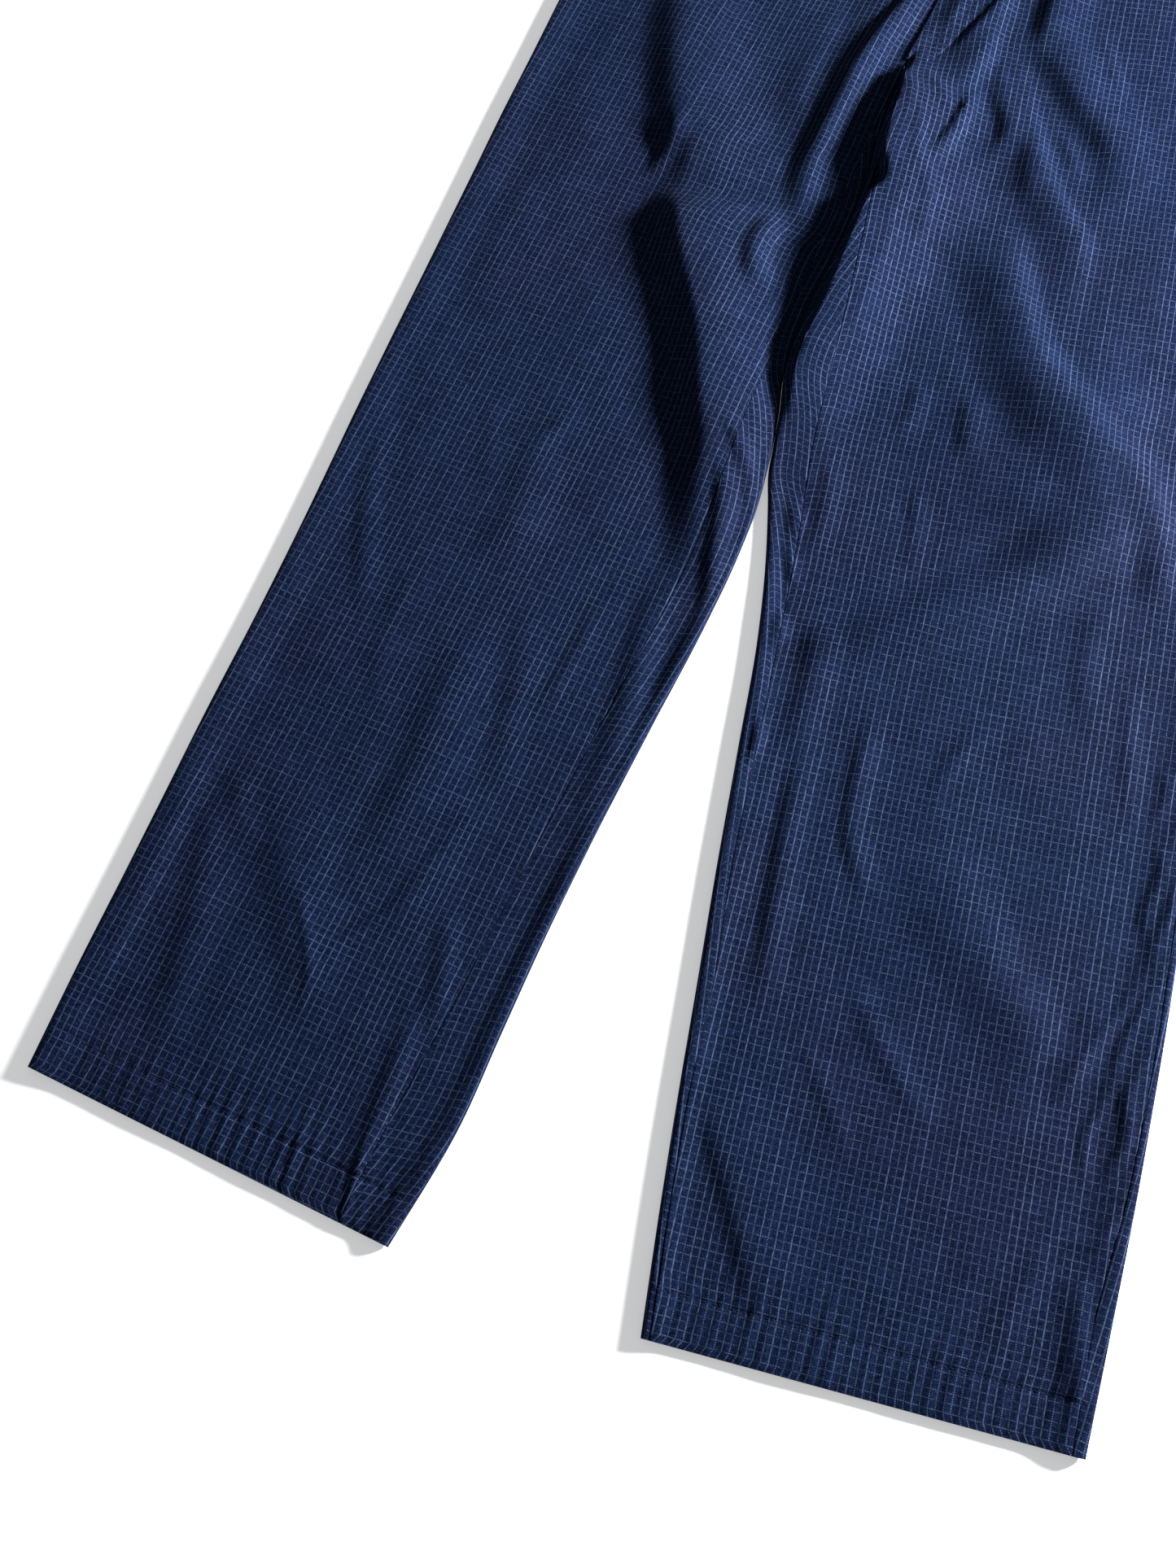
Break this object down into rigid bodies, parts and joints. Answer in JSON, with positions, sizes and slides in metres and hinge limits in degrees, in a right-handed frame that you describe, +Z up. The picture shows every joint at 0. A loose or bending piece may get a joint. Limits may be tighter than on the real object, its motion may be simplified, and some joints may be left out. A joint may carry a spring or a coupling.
{
  "type": "work pants",
  "caption": "Straight-leg work pants in fine checked cloth, laid flat with the front up, legs apart and soft folds round the crotch.",
  "frame": {"origin": "middle of the box round the laid-out pants, on the surface they lie on", "axes": "+Y to the waist, +X to the wearer's left, +Z up off the surface"},
  "size_m": [0.5705, 1.1181, 0.024],
  "materials": {
    "cloth": "matte navy plain weave with thin pale broken check lines",
    "button": "dark satin"
  },
  "bodies": {
    "root": {"front_right": "cloth", "front_left": "cloth", "back_right": "cloth", "back_left": "cloth", "waistband_right": "cloth", "waistband_left": "cloth", "fly": "cloth", "button": "button"}
  },
  "joints": []
}
